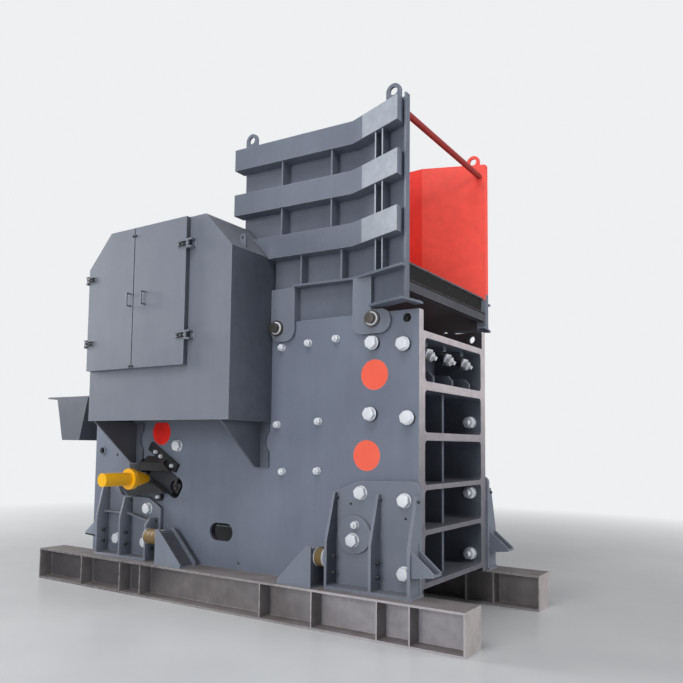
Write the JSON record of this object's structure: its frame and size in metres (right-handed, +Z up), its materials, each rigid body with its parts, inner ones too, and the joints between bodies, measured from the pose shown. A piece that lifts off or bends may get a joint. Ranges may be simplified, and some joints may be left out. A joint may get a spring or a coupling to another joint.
{
  "type": "jaw crusher",
  "caption": "Primary jaw crusher with ribbed front frame, flared open hopper, flywheel guards with doors, on two skid beams.",
  "frame": {"origin": "floor level under the middle of the machine's bounding box", "axes": "+X towards the front frame and the feed side, +Y to the far side, +Z up"},
  "size_m": [5.874, 3.124, 4.8917],
  "materials": {
    "paint": "satin",
    "hopper_paint": "satin",
    "dark_paint": "satin",
    "red_paint": "satin",
    "orange_paint": "satin",
    "yellow_paint": "gloss",
    "skid_steel": "bare mill steel",
    "jaw_casting": "as cast",
    "shaft_steel": "machined",
    "zinc": "zinc plated",
    "buffer_rubber": "matte"
  },
  "bodies": {
    "frame": {"skid_near": "skid_steel", "skid_far": "skid_steel", "side_plate_near": "paint", "side_plate_far": "paint", "front_frame": "paint", "rear_frame": "paint", "fixed_jaw_die": "jaw_casting", "jaw_clamps": "zinc", "pitman": "paint", "swing_jaw_die": "jaw_casting", "cheek_plates": "jaw_casting", "eccentric_shaft": "shaft_steel", "bearing_housings": "paint", "flywheel_near": "paint", "flywheel_far": "paint", "toggle_plate": "paint", "toggle_block": "dark_paint", "tension_rod": "shaft_steel", "wedge_cylinders": "yellow_paint", "wedge_brackets": "dark_paint", "guard_shell_near": "paint", "guard_shell_far": "paint", "guard_doors_far": "paint", "guard_brackets": "paint", "front_feet": "paint", "rear_feet": "paint", "foot_discs": "paint", "skid_stops": "paint", "buffers": "buffer_rubber", "pin_discs": "orange_paint", "plate_bolts_near": "zinc", "plate_bolts_far": "zinc", "hopper_wall_near": "hopper_paint", "hopper_wall_far": "hopper_paint", "hopper_bands": "hopper_paint", "hopper_ribs": "hopper_paint", "hopper_rear_wall": "red_paint", "hopper_sill": "dark_paint", "hopper_tie_rod": "red_paint", "hopper_ears": "paint", "hopper_pins": "shaft_steel", "motor_base": "paint"},
    "rear_door": {"guard_door_rear": "paint"},
    "front_door": {"guard_door_front": "paint"}
  },
  "joints": [
    {"name": "rear_door_hinge", "type": "hinge", "parent": "frame", "child": "rear_door", "pos_m": [-1.2895, -1.494, 3.043], "axis": [0, 0, -1], "range_deg": [0, 120]},
    {"name": "front_door_hinge", "type": "hinge", "parent": "frame", "child": "front_door", "pos_m": [0.2165, -1.494, 3.139], "axis": [0, 0, 1], "range_deg": [0, 120]}
  ]
}
